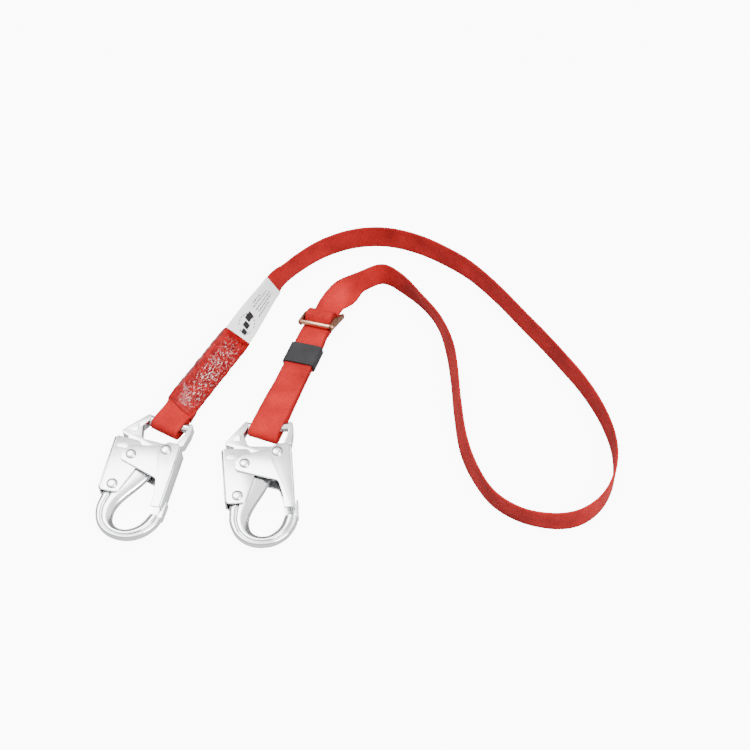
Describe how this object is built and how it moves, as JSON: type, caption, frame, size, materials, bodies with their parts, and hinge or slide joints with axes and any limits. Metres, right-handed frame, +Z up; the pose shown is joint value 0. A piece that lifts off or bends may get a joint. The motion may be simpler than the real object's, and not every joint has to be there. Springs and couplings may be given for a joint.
{
  "type": "shock absorbing lanyard",
  "caption": "Red flat webbing fall arrest lanyard with a shock absorber pack, a strap adjuster with a keeper, and a self closing double locking snap hook at each end.",
  "frame": {"origin": "centre of the base of the hooks, the pack and the adjuster, laid out on a floor; the free strap is left out", "axes": "+Z up from the floor, +Y from the hook ends towards the middle of the lanyard, +X towards the free strap's loop"},
  "size_m": [0.4917, 0.3836, 0.0328],
  "materials": {
    "zinc_steel": "bright zinc plate, satin",
    "spring_steel": "bare spring wire",
    "red_web": "tight flat weave, matte",
    "tear_web": "tight flat weave, matte",
    "clear_film": "glossy shrunk film, tinted by the web inside it",
    "label": "white sheet, satin",
    "yellow_zinc": "yellow zinc plate, satin",
    "black_rubber": "moulded, matte"
  },
  "bodies": {
    "webbing": {"hook_loop_a": "red_web", "tear_webbing": "tear_web", "shrink_wrap": "clear_film", "pack_web": "red_web", "label_sleeve": "label", "long_web": "red_web", "adjuster_web": "red_web", "adjuster_frame": "yellow_zinc", "adjuster_bar": "yellow_zinc"},
    "keeper": {"web_keeper": "black_rubber"},
    "hook_a": {"hook_body_a": "zinc_steel", "gate_rivet_a": "zinc_steel", "lever_rivet_a": "zinc_steel", "gate_spring_a": "spring_steel", "lever_spring_a": "spring_steel"},
    "gate_a": {"gate_a": "zinc_steel", "tail_pin_a": "zinc_steel"},
    "lever_a": {"lock_lever_a": "zinc_steel"},
    "hook_b": {"hook_body_b": "zinc_steel", "gate_rivet_b": "zinc_steel", "lever_rivet_b": "zinc_steel", "gate_spring_b": "spring_steel", "lever_spring_b": "spring_steel"},
    "gate_b": {"gate_b": "zinc_steel", "tail_pin_b": "zinc_steel"},
    "lever_b": {"lock_lever_b": "zinc_steel"}
  },
  "joints": [
    {"name": "hook_a_swing", "type": "hinge", "parent": "webbing", "child": "hook_a", "pos_m": [-0.05466, -0.02022, 0.012], "axis": [0.9588, -0.284, 0], "range_deg": [-60, 60]},
    {"name": "gate_a_open", "type": "hinge", "parent": "hook_a", "child": "gate_a", "pos_m": [-0.05347, -0.05634, 0.012], "axis": [0, 0, -1], "range_deg": [0, 25], "stiffness_Nm_per_rad": 0.15, "springref_deg": -20.05},
    {"name": "lever_a_squeeze", "type": "hinge", "parent": "hook_a", "child": "lever_a", "pos_m": [-0.10072, -0.09262, 0.012], "axis": [0, 0, -1], "range_deg": [0, 7.5], "stiffness_Nm_per_rad": 0.3, "springref_deg": -11.46, "deforming": ["lever_spring_a"]},
    {"name": "hook_b_swing", "type": "hinge", "parent": "webbing", "child": "hook_b", "pos_m": [0.04124, -0.02362, 0.012], "axis": [1, 0, 0], "range_deg": [-60, 60]},
    {"name": "gate_b_open", "type": "hinge", "parent": "hook_b", "child": "gate_b", "pos_m": [0.05264, -0.05792, 0.012], "axis": [0, 0, -1], "range_deg": [0, 25], "stiffness_Nm_per_rad": 0.15, "springref_deg": -20.05},
    {"name": "lever_b_squeeze", "type": "hinge", "parent": "hook_b", "child": "lever_b", "pos_m": [0.01764, -0.10612, 0.012], "axis": [0, 0, -1], "range_deg": [0, 7.5], "stiffness_Nm_per_rad": 0.3, "springref_deg": -11.46, "deforming": ["lever_spring_b"]},
    {"name": "keeper_slide", "type": "slide", "parent": "webbing", "child": "keeper", "axis": [0.342, 0.9397, 0], "range_m": [-0.015, 0.004]}
  ],
  "couplings": [
    {"joint": "lever_a_squeeze", "follows": "gate_a_open", "ratio": 0.3},
    {"joint": "lever_b_squeeze", "follows": "gate_b_open", "ratio": 0.3}
  ]
}
